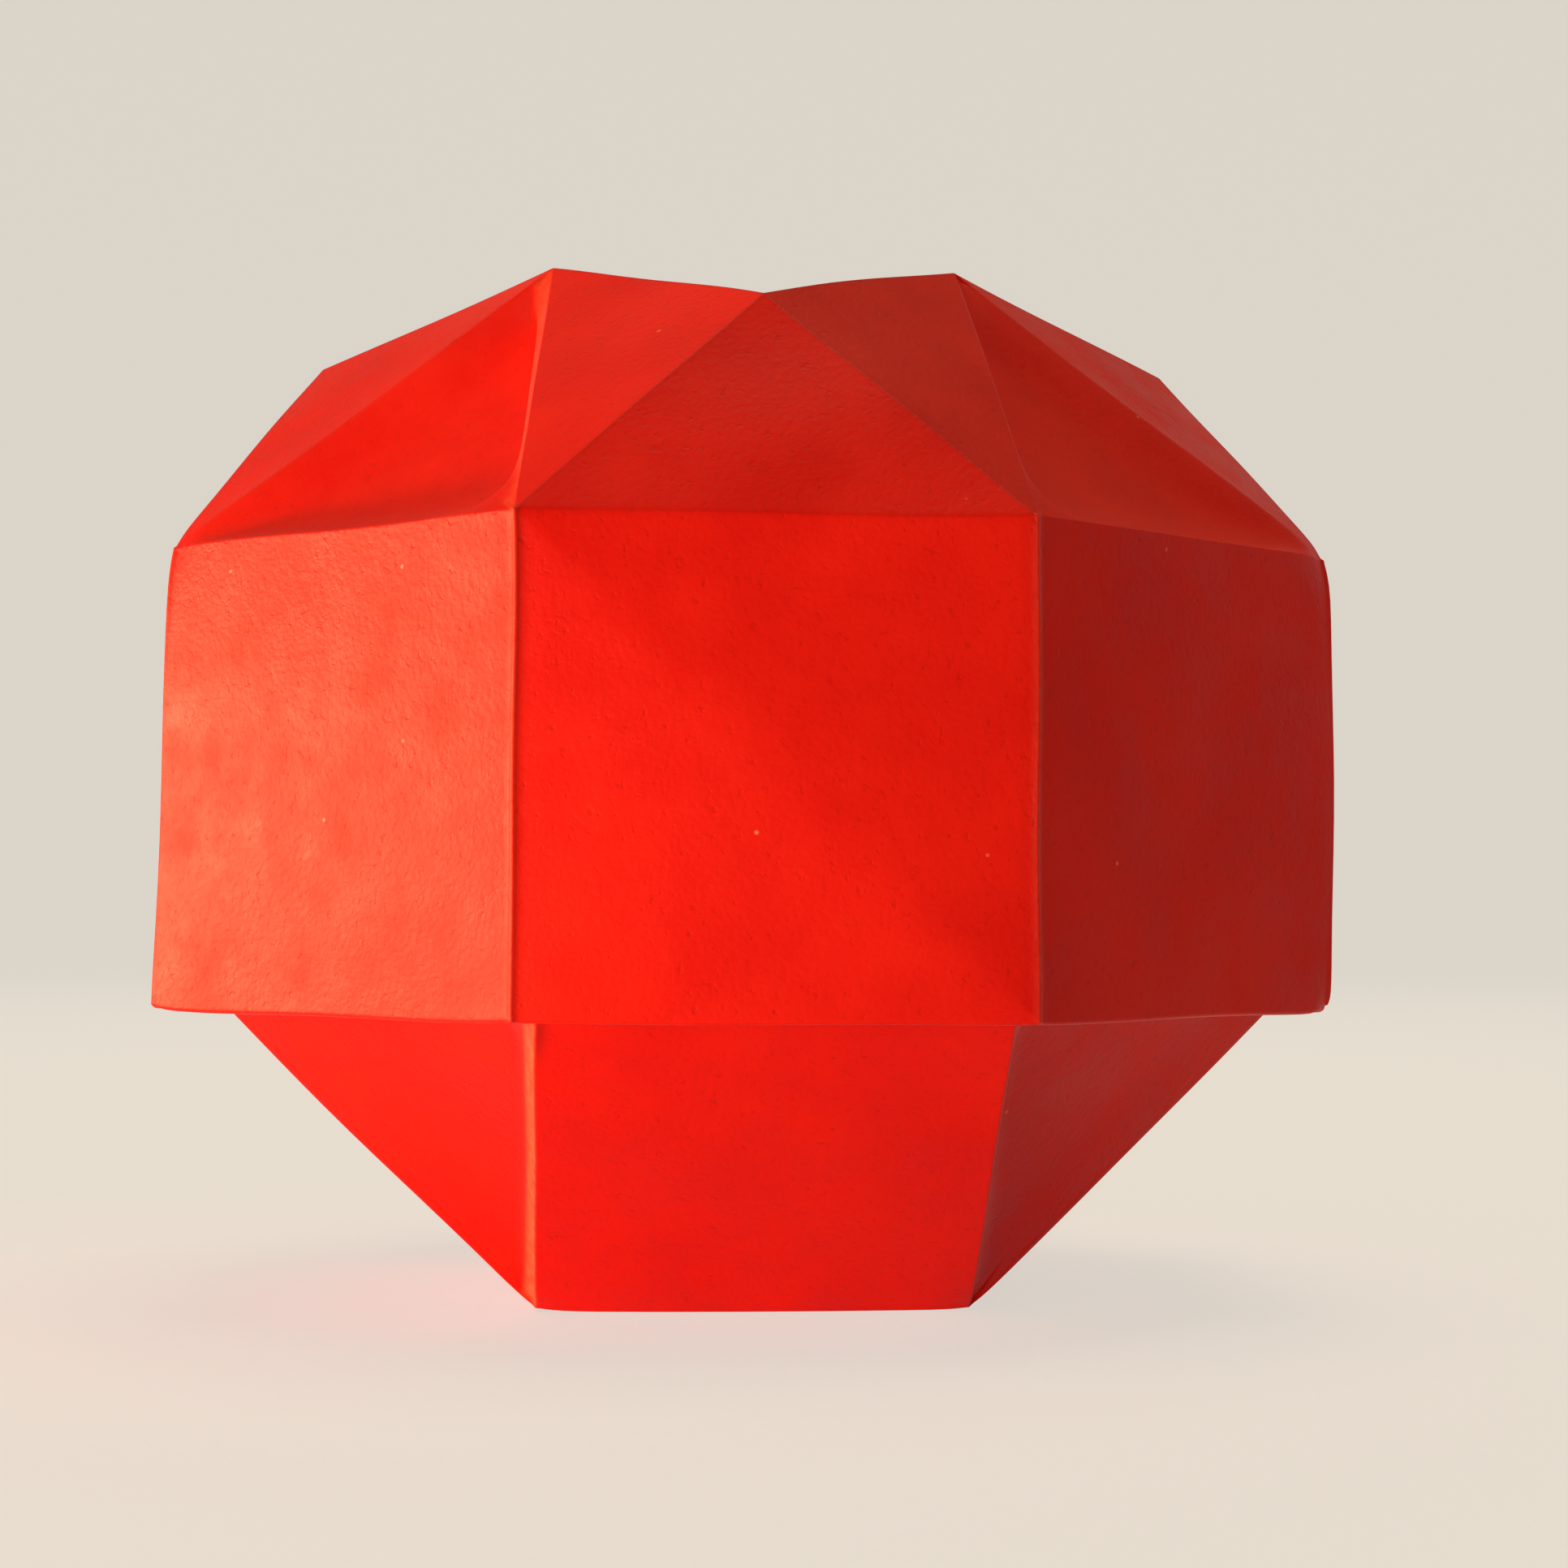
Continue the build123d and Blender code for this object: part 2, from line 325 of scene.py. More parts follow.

# Painted highlight on the flank of a folded edge, in halves of its thickness, and the slack in finding its points
HIGHLIGHT_START, HIGHLIGHT_AT_ARRIS, HIGHLIGHT_END = 0.2, 0.3, 1.2
ARRIS_SLACK, PLANE_SLACK = 0.01 * MM, 1 * MM


def inset_moves(corners):
    """Moves of points round a triangle that bring them in, per unit, from its first, second and third edge.

    A corner moves along one of its edges, by 1 / sin(corner angle), to come in from the other one. A point between
    two corners moves by its shares of their moves.
    """
    ahead, back = unit(np.roll(corners, -1, axis=0) - corners), unit(np.roll(corners, 1, axis=0) - corners)
    sine = np.linalg.norm(np.cross(ahead, back), axis=1)[:, None]
    edge, after = np.arange(3), (np.arange(3) + 1) % 3
    moves = np.zeros((3, 3, 3))
    moves[edge, edge] = back / sine
    moves[edge, after] = (ahead / sine)[after]
    share = EDGE_SHARES[:-1, None]
    start, end = moves[:, :, None], np.roll(moves, -1, axis=1)[:, :, None]
    return (start * (1 - share) + end * share).reshape(3, -1, 3)


def corner_shares(points, tuck):
    """Shares of the way from a tuck's tip to its front end and to its side end that lead to each point."""
    tip, front, side = tuck[:3]
    spans = np.stack([front - tip, side - tip], axis=1)
    return np.linalg.lstsq(spans, (points - tip).T, rcond=None)[0]


def tuck_depth(points, tuck):
    """Depth of a tucked-in triangle below its corner's plane.

    With s the share of the way from the tip to the wall and f that from the side panel round to the front one, the
    depth is f (tip depth (1-s) + front depth s), with f drawn to 1 near the tip. Clear of the tip and the side panel
    the triangle also sags in, by sag (1 - exp(-x / reach)) at the distance x from the wall, so it curls out to meet
    the wall.
    """
    tip, front, side, _, (at_tip, at_wall, sag) = tuck
    at_front, at_side = np.maximum(corner_shares(points.reshape(-1, 3), tuck), 0)
    down = np.clip(at_front + at_side, LEAST_SHARE, 1)
    area = np.linalg.norm(np.cross(front - tip, side - tip))
    from_tip = down * area / np.linalg.norm(front - side)
    from_wall = (1 - down) * area / np.linalg.norm(front - side)
    from_side = at_front * area / np.linalg.norm(side - tip)
    turned = np.clip(at_front / down, 0, 1)
    turned = turned + (1 - turned) * bell(from_tip, TIP_REACH)
    clear = (1 - bell(from_tip, SAG_FADE)) * ease(from_side / SAG_FADE)
    sagging = (1 - np.exp(-from_wall / SAG_REACH)) * clear
    depth = turned * (at_tip * (1 - down) + at_wall * down) + sag * sagging
    return depth.reshape(points.shape[:-1])


def tuck_patch(tuck, radius, rolls, runs):
    """Rings and floor of a corner tuck.

    Each ring is the corner triangle moved in from each of its edges, its front corner rounded. Along the front panel
    and the wall the rings follow a folded edge: down its flank, then back under it, or on to the floor as far as the
    edge runs down on to it. The half thickness of that edge runs from its value at the tip, by a power of the way
    left, to that at the front end. Along the side panel the rings lie on the floor from the first.
    """
    tip, front, side, normal, _ = tuck
    corners = np.array([tip, front, side])
    along = EDGE_SHARES[:-1]
    left = 1 - along
    here = np.ones_like(along)
    wall_hard = 1 - ease((along - HARD_END) / (1 - HARD_END))
    hard = np.concatenate([here, wall_hard, 0 * here])
    at_tip, at_front, at_wall = rolls
    front_roll = at_front + (at_tip - at_front) * left ** ROLL_FADE
    wall_roll = at_wall + (at_front - at_wall) * left ** CORNER_FADE
    roll = np.concatenate([front_roll, wall_roll, at_tip * here])
    tip_run, end_run = runs
    front_run = end_run + (tip_run - end_run) * left ** RUN_FADE
    run = np.concatenate([front_run, end_run * left ** CORNER_FADE, tip_run * here])
    from_tip = left * np.linalg.norm(side - tip)
    crease = along_outline(corners)
    from_front, from_wall, from_side = inset_moves(corners)
    rings = []
    for row, (soft_in, least_in) in enumerate(zip(SOFT_ROWS, TIP_ROWS)):
        floor_row = row - len(UNDER_IN)
        if floor_row < 0:
            inset = ((1 - run) * UNDER_IN[row] + run * RUN_IN[row]) * roll
            down = ((1 - run) * UNDER_DOWN[row] + run * RUN_DOWN[row]) * roll
            down_share, slid = DEPTH_SHARES[row], 0.0
        else:
            inset = (1 - run) * UNDER_FLOOR[floor_row] + run * RUN_FLOOR[floor_row]
            down, down_share = np.inf, 1.0
            slid = inset[0] * np.linalg.norm(from_front[0])
        on_front, on_wall, _ = inset.reshape(3, -1)
        wall_in = wall_hard * on_wall + (1 - wall_hard) * soft_in
        tip_in = least_in + (soft_in - least_in) * ease(slid / TIP_SPAN)
        side_in = least_in + (soft_in - least_in) * ease((from_tip + slid * along) / TIP_SPAN)
        front_inset = np.concatenate([on_front, on_wall[0] * here, on_front[0] * here])
        wall_inset = np.concatenate([on_wall[0] * here, wall_in, soft_in * here])
        side_inset = np.concatenate([tip_in * here, soft_in * here, side_in])
        mouth = rounded_loop(corners, MOUTH_SHARES[row] * MOUTH_CORNERS * radius) - crease
        ring = crease + mouth * hard[:, None]
        for move, by in ((from_front, front_inset), (from_wall, wall_inset), (from_side, side_inset)):
            ring = ring + move * by[:, None]
        floor_depth = tuck_depth(ring, tuck)
        rolled = np.minimum(down, floor_depth * down_share)
        eased = floor_depth * ease(soft_in / SOFT_SPAN)
        rings.append(ring - normal * (hard * rolled + (1 - hard) * eased)[:, None])
    floor = [
        patch - normal * tuck_depth(patch, tuck)[..., None]
        for patch in triangle_patch(*inset_triangle(corners, SOFT_ROWS[-1]))
    ]
    return np.array(rings), floor


def corner_tucks(outer, middle, at_tip, at_front, sag):
    """The four tucks: tip, front or back end, side end, normal facing away from the middle of the box, and the
    depths at the tip, at the front and of the sag."""
    tucks = []
    for numbers, fullness, sagging in zip(TUCK_CORNERS, FOLD_FULLNESS, SAGGING):
        tip, front, side = outer[list(numbers)]
        normal = unit(np.cross(front - tip, side - tip))
        outward = normal if normal @ (tip - middle) > 0 else -normal
        tucks.append((tip, front, side, outward, (at_tip * fullness, at_front, sag * sagging)))
    return tucks


def tuck_grids(tucks, radius, rolls, runs):
    """Rings and floors of the four tucks, each with its edges folded over as fully as its own are."""
    all_rings, floors = [], []
    for tuck, fullness in zip(tucks, FOLD_FULLNESS):
        rings, floor = tuck_patch(tuck, radius, np.array(rolls) * fullness, runs)
        all_rings.append(rings)
        floors += floor
    return all_rings, floors


def behind_tucks(points, tucks, thickness):
    """Inner skin kept behind the tucks: a point less than the thickness behind a tuck's floor moves in that far."""
    for tuck in tucks:
        tip, _, _, normal, _ = tuck
        back = tuck_depth(points, tuck) + thickness
        proud = np.maximum((points - tip) @ normal + back, 0)
        points = points - proud[..., None] * normal
    return points


def inner_triangles(inner, facets, tucks, thickness):
    """Grids over triangles of the inner skin, kept behind the tucks."""
    patches = [patch for facet in facets for patch in triangle_patch(*inner[list(facet)])]
    return [behind_tucks(patch, tucks, thickness) for patch in patches]


def edge_highlight(points, tucks, rolls):
    """Painted highlight on the flanks of the front and back panels' folded edges, strong at the tucks facing the
    light.

    The highlight is full from just inside the arris to 1.2 half thicknesses in, and eases off over one more.
    """
    paleness = np.zeros(len(points))
    for tuck, fullness, share in zip(tucks, FOLD_FULLNESS, FLANK_HIGHLIGHT):
        tip, front, side, normal, _ = tuck
        at_front, at_side = corner_shares(points, tuck)
        off_plane = np.abs((points - tip) @ normal)
        area = np.linalg.norm(np.cross(front - tip, side - tip))
        from_front = at_side * area / np.linalg.norm(front - tip)
        roll = (rolls[1] + (rolls[0] - rolls[1]) * np.clip(1 - at_front, 0, 1) ** ROLL_FADE) * fullness
        flank = ease(from_front / (HIGHLIGHT_START * roll) + HIGHLIGHT_AT_ARRIS) * (1 - ease(from_front / roll - HIGHLIGHT_END))
        inside = (at_front > 0) & (at_front < 1) & (from_front > -ARRIS_SLACK) & (off_plane < PLANE_SLACK)
        paleness = np.maximum(paleness, share * flank * inside)
    return paleness


# Sheets

WELD_DISTANCE = 0.002 * MM
CREASE_WEIGHT = 0.7  # how sharp an old crease stays when the mesh is smoothed
RIDGE_WIDTH = 0.1 * MM
GROOVE_SHARE, GROOVE_PLACE = 0.3, 0.22 * MM  # depth beside a ridge, as a share of its height, and how far off
# Width of the pale line along a fold: wear with painted highlight
PALE_WIDTH = 0.08 * MM
# Width of a painted shade line
SHADE_WIDTH = 0.11 * MM
WAVES, WAVE_LENGTHS = 14, (7, 16)  # lengths from and to, in millimetres


def grid_quads(rows, columns, wrap):
    """Four corner numbers of each cell of a grid, its last column joined to its first where it wraps."""
    numbers = np.arange(rows * columns).reshape(rows, columns)
    if wrap:
        numbers = np.concatenate([numbers, numbers[:, :1]], axis=1)
    cells = numbers[:-1, :-1], numbers[1:, :-1], numbers[1:, 1:], numbers[:-1, 1:]
    return np.stack(cells, axis=-1).reshape(-1, 4)


def mesh_points(mesh):
    """The mesh's points as an array."""
    points = np.empty(len(mesh.vertices) * 3)
    mesh.vertices.foreach_get("co", points)
    return points.reshape(-1, 3)


def crease_along(shell, points, line):
    """Splits the cells that a row of grid points crosses from corner to corner, and creases the new edges."""
    shell.verts.ensure_lookup_table()
    row = [shell.verts[int(np.linalg.norm(points - place, axis=1).argmin())] for place in line]
    weight = shell.edges.layers.float.new("crease_edge")
    for first, second in zip(row[:-1], row[1:]):
        for edge in bmesh.ops.connect_verts(shell, verts=[first, second])["edges"]:
            edge[weight] = CREASE_WEIGHT


def sheet_mesh(name, open_grids, ring_grids, old_crease=()):
    """One closed mesh from grids that share their edges: corners put together and faces turned outwards."""
    points, quads, count = [], [], 0
    for grids, wrap in ((open_grids, False), (ring_grids, True)):
        for grid in grids:
            rows, columns = grid.shape[:2]
            points.append(grid.reshape(-1, 3))
            quads.append(grid_quads(rows, columns, wrap) + count)
            count += rows * columns
    mesh = bpy.data.meshes.new(name)
    mesh.from_pydata(np.concatenate(points).tolist(), [], np.concatenate(quads).tolist())
    shell = bmesh.new()
    shell.from_mesh(mesh)
    bmesh.ops.remove_doubles(shell, verts=shell.verts, dist=WELD_DISTANCE)
    bmesh.ops.recalc_face_normals(shell, faces=shell.faces)
    if len(old_crease):
        shell.to_mesh(mesh)
        crease_along(shell, mesh_points(mesh), old_crease)
    open_edges = sum(not edge.is_manifold for edge in shell.edges)
    if open_edges:
        raise RuntimeError(f"{name} has {open_edges} edges that don't join two faces")
    shell.to_mesh(mesh)
    shell.free()
    return mesh


def fold_distance(points, folds):
    """Distance of every point from every fold line: to the nearest place on the straight segment."""
    start, end = folds[:, 0], folds[:, 1]
    span = end - start
    share = np.einsum("psx,sx->ps", points[:, None] - start[None], span) / (span**2).sum(axis=1)
    nearest = start[None] + np.clip(share, 0, 1)[..., None] * span[None]
    return np.linalg.norm(points[:, None] - nearest, axis=2)


def marked(*groups):
    """Lines and their strengths, from groups of lines with one strength each."""
    strengths = [np.full(len(lines), strength) for lines, strength in groups]
    return np.concatenate([lines for lines, _ in groups]), np.concatenate(strengths)


def mark_paper(mesh, folds, shade_lines, painted_flank_highlight):
    """Paleness and painted shade on the paper, as values at the mesh's points.

    Paleness is a fold's strength times a bell of the distance from it, worn fibres with painted highlight, or the
    painted highlight of a flank where that is more. Painted shade is a line's strength times a bell of the distance
    from it.
    """
    points = mesh_points(mesh)
    fold_wear, painted_shade = (
        (strengths * bell(fold_distance(points, lines), width)).max(axis=1)
        for (lines, strengths), width in ((folds, PALE_WIDTH), (shade_lines, SHADE_WIDTH))
    )
    for name, values in (("fold_wear", np.maximum(fold_wear, painted_flank_highlight)), ("crease_line", painted_shade)):
        attribute = mesh.attributes.new(name, "FLOAT", "POINT")
        attribute.data.foreach_set("value", values.astype(np.float32))


def ripple_field(points, height, seed):
    """Handled paper's waviness: a sum of slow sine waves of the place, each with its own direction and phase."""
    random = np.random.default_rng(seed)
    lengths = random.uniform(*WAVE_LENGTHS, WAVES) * MM
    directions = random.normal(size=(WAVES, 3))
    directions *= (2 * np.pi / lengths / np.linalg.norm(directions, axis=1))[:, None]
    pushes = random.normal(size=(WAVES, 3)) / math.sqrt(WAVES)
    phases = random.uniform(0, 2 * np.pi, WAVES)
    return height * np.sin(points @ directions.T + phases) @ pushes


def shape_paper(mesh, folds, blunted, paper, middle, seed):
    """Ridges the mesh along its folds, blunts its corners and waves it, all above the ground.

    Along a fold the creased fibres stand up in a ridge with a shallow groove on each side: the fold's strength
    times a bell of the distance, less a lower bell a little way off. A blunted corner goes in by its depth times a
    bell of the distance.
    """
    points = mesh_points(mesh)
    lines, strengths = folds
    distance = fold_distance(points, lines)
    profile = bell(distance, RIDGE_WIDTH) - GROOVE_SHARE * bell(distance - GROOVE_PLACE, RIDGE_WIDTH)
    ridge = (paper.bead * strengths * profile)[np.arange(len(points)), distance.argmin(axis=1)]
    blunt = sum(depth * bell(np.linalg.norm(points - corner, axis=1), reach) for corner, reach, depth in blunted)
    moved = points + unit(points - middle) * (ridge - blunt)[:, None] + ripple_field(points, paper.ripple, seed)
    moved[:, 2] = np.maximum(moved[:, 2], 0)
    mesh.vertices.foreach_set("co", moved.ravel())


def place_sheet(context, mesh, paper, body):
    """The mesh as a finished piece: smoothed once, in its paper and riding on its body."""
    mesh.polygons.foreach_set("use_smooth", np.ones(len(mesh.polygons), dtype=bool))
    mesh.update()
    piece = bpy.data.objects.new(mesh.name, mesh)
    context.scene.collection.objects.link(piece)
    rounding = piece.modifiers.new("Rounded folds", "SUBSURF")
    rounding.levels = rounding.render_levels = 1
    mesh.materials.append(dyed_paper(paper))
    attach(piece, body)
    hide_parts(body)


# Materials

PALE_SHARE = 0.5  # of the pale colour at full paleness: worn folds with painted highlight, and painted highlight on lit flanks
PIT_SHARE = 0.2  # of the crease colour in a pit, as painted shade
LUMP_WEIGHT, PIT_WEIGHT = 0.6, -3.0  # in the height of the felt, beside a weight of 1 for its tooth


def add(tree, kind, settings=None, **inputs):
    """Adds a node, sets its properties, and gives each named input a value or another node's output."""
    node = tree.nodes.new(kind)
    for name, value in (settings or {}).items():
        setattr(node, name, value)
    for name, value in inputs.items():
        socket = node.inputs[int(name[1:]) if name[1:].isdigit() else name.replace("_", " ")]
        if isinstance(value, bpy.types.NodeSocket):
            tree.links.new(value, socket)
        else:
            socket.default_value = value
    return node


def noise(tree, place, size, detail, roughness=0.5):
    """Cloudy pattern with blotches about the size across."""
    settings = {"Scale": 1 / size, "Detail": detail, "Roughness": roughness}
    return add(tree, "ShaderNodeTexNoise", Vector=place, **settings).outputs["Fac"]


def ramp(tree, value, low, high, **ends):
    """The value's way from low to high, from 0 to 1 or between other ends."""
    return add(tree, "ShaderNodeMapRange", Value=value, From_Min=low, From_Max=high, **ends).outputs["Result"]


def maths(tree, operation, *values):
    """Result of an operation on values and outputs."""
    inputs = {f"i{number}": value for number, value in enumerate(values)}
    return add(tree, "ShaderNodeMath", {"operation": operation}, **inputs).outputs["Value"]


def tint(tree, share, under, over):
    """A colour over another one, by its share."""
    return add(tree, "ShaderNodeMix", {"data_type": "RGBA"}, Factor=share, i6=under, i7=(*over, 1)).outputs[2]


def new_tree(material):
    """An empty node tree for a material."""
    material.use_nodes = True
    material.node_tree.nodes.clear()
    return material.node_tree


def dyed_paper(paper):
    """Uncoated craft paper, dyed right through: matt with a low sheen in glancing light, with felted fibres that
    stand up as a fine grain with pits between them, cloudy dye, a few undyed fibre ends, paler worn fibres with
    painted highlight along the folds, painted highlight on the lit flanks of folded edges, and painted shade along
    creases and in the pits."""
    name = "dyed craft paper"
    if name in bpy.data.materials:
        return bpy.data.materials[name]
    material = bpy.data.materials.new(name)
    tree = new_tree(material)
    place = add(tree, "ShaderNodeTexCoord").outputs["Object"]

    # Cloudy dye: blotches about 5 mm across, with finer ones in them
    clouds = noise(tree, place, 5 * MM, 3.0, 0.6)
    skin = tint(tree, ramp(tree, clouds, 0.35, 0.65), (*paper.deep_red, 1), paper.red)

    # Paler fibre ends: specks about 0.15 mm across, where a cell of 3 mm has its middle on the surface
    cells = add(tree, "ShaderNodeTexVoronoi", Vector=place, Scale=1 / (3 * MM))
    skin = tint(tree, ramp(tree, cells.outputs["Distance"], 0.035, 0.015), skin, paper.speck)

    # Folds: paler, patchy along the fold at about 0.4 mm: worn fibres with painted highlight, and painted highlight
    # on the lit flanks of folded edges
    paleness = add(tree, "ShaderNodeAttribute", {"attribute_name": "fold_wear"}).outputs["Fac"]
    patchy = maths(tree, "MULTIPLY", paleness, noise(tree, place, 0.4 * MM, 2.0))
    skin = tint(tree, maths(tree, "MULTIPLY", patchy, PALE_SHARE), skin, paper.wear_and_highlight)

    # Creases, lines beside the upright folds and the slit at the base: painted shade
    lines = add(tree, "ShaderNodeAttribute", {"attribute_name": "crease_line"}).outputs["Fac"]
    skin = tint(tree, lines, skin, paper.crease)

    # Pits between the fibres: painted shade in nicks about 0.15 mm across
    pits = ramp(tree, noise(tree, place, 0.35 * MM, 2.0, 0.6), 0.6, 0.76, To_Max=PIT_SHARE)
    skin = tint(tree, pits, skin, paper.crease)

    # Felted fibres: soft lumps about 0.8 mm across, a finer tooth about 0.25 mm across on them, and the pits
    lumps, tooth = noise(tree, place, 0.8 * MM, 1.0), noise(tree, place, 0.25 * MM, 1.0)
    felt = maths(tree, "MULTIPLY_ADD", lumps, LUMP_WEIGHT, tooth)
    pitted = maths(tree, "MULTIPLY_ADD", pits, PIT_WEIGHT, felt)
    bump = add(tree, "ShaderNodeBump", Strength=0.38, Distance=0.04 * MM, Height=pitted)

    # Where the felt lies closer it shines a little more: patches about 2.5 mm across
    closer = noise(tree, place, 2.5 * MM, 4.0, 0.6)
    shine = ramp(tree, closer, 0.3, 0.7, To_Min=0.38, To_Max=0.5)

    shader = add(
        tree, "ShaderNodeBsdfPrincipled", Base_Color=skin, Roughness=shine, IOR=1.5,
        Specular_IOR_Level=0.16, Normal=bump.outputs["Normal"],
    )
    add(tree, "ShaderNodeOutputMaterial", Surface=shader.outputs["BSDF"])
    return material


# Turned rims: how far in a hem's rows lie, in thicknesses of the paper, its height, and its rows from the rim
HEM_INSETS = np.array([0.04, 0.2, 0.5, 0.8, 0.96])
LID_HEM, LID_HEM_ROWS = 0.14 * MM, np.array([0.07, 0.02, 0, 0.02, 0.07]) * MM
BASE_HEM, BASE_HEM_ROWS = 0.25 * MM, np.array([0.13, 0.04, 0, 0.04, 0.13]) * MM
FIRST_INSIDE = len(EDGE_SHARES) + len(HEM_INSETS)  # row of a belt where its inside starts


# Lid

# Handwork at the upright folds from the front wall's left end on: how far each leans out at the rim, the last by its
# own setting, springs out halfway down, and lifts its hem
FLARES = np.array([0.02, 0, 0.02, 0.1, 0.05, 0.12, 0.2]) * MM
SPRINGS = np.array([0, 0, 0.22, 0.12, 0.05, 0.08, 0.06, 0.04]) * MM
LIFTS = np.array([0.03, 0.03, 0.3, 0.1, 0.05, 0.08, 0.1, 0.16]) * MM
LIFT_WIDTH = 0.45 * MM
LIFT_FADE = 30  # power of the share of the way down
# Handwork on the walls from the front one on: how far each swells, and its share of the old diagonal crease
SWELLS = np.array([0.0, 0.1, 0.06, -0.05, 0.12, 0.08, -0.06, 0.1]) * MM
OLD_CREASES = np.array([1, 0, 0, 0, 0.6, 0, 0, 0])
# Handwork on the crown
FRONT_PEAK_SHIFT = np.array([-0.2, 0, 0.2]) * MM
FRONT_RIGHT_TIP_SHIFT = np.array([-0.1, 0, 0.15]) * MM
BESIDE_FOLD = 0.13 * MM  # from an upright fold to the painted shade line beside it
LID_RUNS = (1, 0)  # how far a panel's folded edge runs down on to the floor, at its tip and at its lower end
LID_FLANK_HIGHLIGHT = 1.6  # painted highlight on the flank of that edge
UPRIGHT_FOLD, TOP_FOLD = 1.0, -0.1  # strengths of folds: the walls' tops sink a little
# Strengths of painted shade along the crown's creases, the walls' tops and beside the upright folds
CROSSING_SHADE, TOP_SHADE, BESIDE_SHADE = 0.18, 0.15, 0.6
# Blunted corners of the belt's top with their depths, and the one of the rim, below its corner number
BLUNTED_TOPS = ((2, 0.25 * MM), (3, 0.2 * MM), (6, 0.2 * MM), (7, 0.15 * MM))
TOP_BLUNT_REACH = 0.8 * MM
BLUNTED_RIM, RIM_BLUNT_REACH, RIM_BLUNT_DEPTH = 2, 0.6 * MM, 0.25 * MM
LID_SEED = 11


def crown_facets():
    """Corner numbers of the crown's facets: those of the creased panels and the top, and the corner triangles."""
    creased, corners = [], []
    for side in range(SIDES):
        left, right, far, near, next_left = side_corners(side)
        peak, dip = FIRST_PEAK + side, FIRST_DIP + side
        creased += [(left, right, peak), (right, far, peak), (near, left, peak), (far, dip, peak)]
        creased += [(dip, near, peak), (far, CENTRE, dip), (CENTRE, near, dip)]
        corners += [(right, next_left, far)]
    return creased, corners


def lid_rings(lid, paper):
    """The lid's belt as a profile carried round its outline: down the outside, round the hem, up the inside.

    Each corner of the outline leans out with the share v of the way down by flare v + spring 4v(1-v), and the hem
    lifts at a corner by a bell of the distance from it. A wall swells by s sin(pi u) sin(pi v), and its old crease
    pushes it out by 4 h min(u, v) (1 - max(u, v)).
    """
    top = lid.rim_level + lid.belt_height
    straight = lid.belt_height - LID_HEM
    flares = np.append(FLARES, lid.left_flare)
    profile = [(0.0, share * straight) for share in EDGE_SHARES]
    profile += [(inset * paper.layers, lid.belt_height - up) for inset, up in zip(HEM_INSETS, LID_HEM_ROWS)]
    profile += [(paper.layers, (1 - share) * straight) for share in EDGE_SHARES[::2]]
    rows = []
    for inset, down in profile:
        share = down / lid.belt_height
        corners = octagon(lid.wall_width, lid.across, top - down, inset)
        away = unit(corners * (1, 1, 0))
        lean = flares * share + SPRINGS * 4 * share * (1 - share)
        rows.append(along_outline(corners + away * lean[:, None]))
    rings = np.array(rows)

    along = EDGE_SHARES[:-1]
    u, v = along[None, :], EDGE_SHARES[:, None]
    ridge = np.minimum(u, v) * (1 - np.maximum(u, v)) * 4
    swell = np.sin(np.pi * u) * np.sin(np.pi * v)
    ridges = OLD_CREASES * lid.diagonal_ridge
    push = SWELLS[:, None, None] * swell + ridges[:, None, None] * ridge
    facing = quarter_turns([(0, -1, 0), (math.sqrt(0.5), -math.sqrt(0.5), 0)])
    outer = rings[:len(EDGE_SHARES)].reshape(len(EDGE_SHARES), WALLS, len(along), 3)
    outer += push.transpose(1, 0, 2)[..., None] * facing[None, :, None, :]

    near = np.minimum(along, 1 - along) * lid.wall_width
    nearest = (np.arange(WALLS)[:, None] + (along >= 0.5)) % WALLS
    lifted = (LIFTS[nearest] * bell(near, LIFT_WIDTH)).reshape(-1)
    depth = np.array([down for _, down in profile]) / lid.belt_height
    rings[..., 2] += lifted * depth[:, None] ** LIFT_FADE
    return rings


